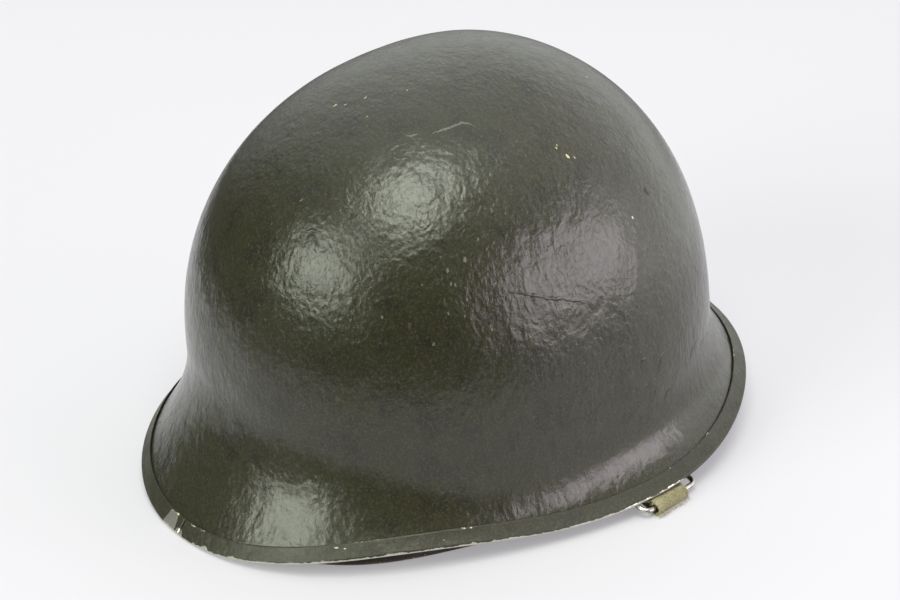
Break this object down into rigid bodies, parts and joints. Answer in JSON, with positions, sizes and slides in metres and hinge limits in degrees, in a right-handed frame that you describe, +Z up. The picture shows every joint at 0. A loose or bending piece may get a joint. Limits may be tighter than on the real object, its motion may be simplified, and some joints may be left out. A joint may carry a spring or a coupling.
{
  "type": "steel pot helmet with liner",
  "caption": "Steel pot combat helmet with a flared rim and visor, folded rim edging, hinged strap loops, web chin straps and a removable suspended liner.",
  "frame": {"origin": "floor point under the middle of the helmet's bounding box", "axes": "+Z up from the floor, -Y towards the visor, +X towards the wearer's left"},
  "size_m": [0.246, 0.282, 0.178],
  "materials": {
    "shell_paint": "thick hand-brushed olive drab repaint over steel, semi-gloss and wrinkled, chipped to pale primer",
    "edging_steel": "folded stainless strip, painted over on its upper half and worn bright along its lower edge",
    "loop_wire": "drawn steel wire, mostly bare",
    "bracket_steel": "sheet steel, painted over",
    "khaki_web": "woven cotton web, faded khaki and fuzzy",
    "strap_hardware": "blackened brass, worn at its edges",
    "liner_laminate": "laminated duck under worn dark paint, brown at the edge",
    "liner_web": "herringbone cotton web, khaki",
    "sweatband_leather": "brown leather, creased by use",
    "liner_metal": "blackened steel pressings"
  },
  "bodies": {
    "liner": {"left_chin_strap": "khaki_web", "right_chin_strap": "khaki_web", "left_strap_hook": "strap_hardware", "right_strap_tip": "strap_hardware", "liner_shell": "liner_laminate", "front_eyelet": "strap_hardware", "head_web": "liner_web", "sweatband": "sweatband_leather", "sweatband_clips": "liner_metal", "crown_strap_across": "liner_web", "crown_strap_left_front": "liner_web", "crown_strap_right_front": "liner_web", "strap_washers": "liner_metal", "strap_rivets": "liner_metal", "nape_strap": "liner_web", "nape_washers": "liner_metal", "nape_rivets": "liner_metal", "nape_snaps": "strap_hardware", "liner_studs": "strap_hardware"},
    "pot": {"steel_shell": "shell_paint", "rim_edging": "edging_steel", "left_loop_bracket": "bracket_steel", "right_loop_bracket": "bracket_steel"},
    "left_loop": {"left_wire_loop": "loop_wire", "left_strap_roll": "khaki_web"},
    "right_loop": {"right_wire_loop": "loop_wire", "right_strap_roll": "khaki_web"},
    "strap_buckle": {"right_strap_buckle": "strap_hardware"},
    "size_runner": {"sweatband_runner": "strap_hardware"}
  },
  "joints": [
    {"name": "pot_lift", "type": "slide", "parent": "liner", "child": "pot", "axis": [0, 0, 1], "range_m": [0, 0.18], "deforming": ["left_chin_strap", "right_chin_strap"]},
    {"name": "left_loop_swing", "type": "hinge", "parent": "pot", "child": "left_loop", "pos_m": [0.11073, 0.03372, 0.01085], "axis": [-0.1478, 0.989, 0], "range_deg": [-1, 40]},
    {"name": "right_loop_swing", "type": "hinge", "parent": "pot", "child": "right_loop", "pos_m": [-0.11073, 0.03372, 0.01085], "axis": [0.1478, 0.989, 0], "range_deg": [-40, 1]},
    {"name": "buckle_slide", "type": "slide", "parent": "liner", "child": "strap_buckle", "axis": [0.91, -0.4146, 0], "range_m": [-0.011, 0.011]},
    {"name": "band_size", "type": "hinge", "parent": "liner", "child": "size_runner", "pos_m": [0, 0.03953, 0.06205], "axis": [0, 0, 1], "range_deg": [-5, 5]}
  ]
}
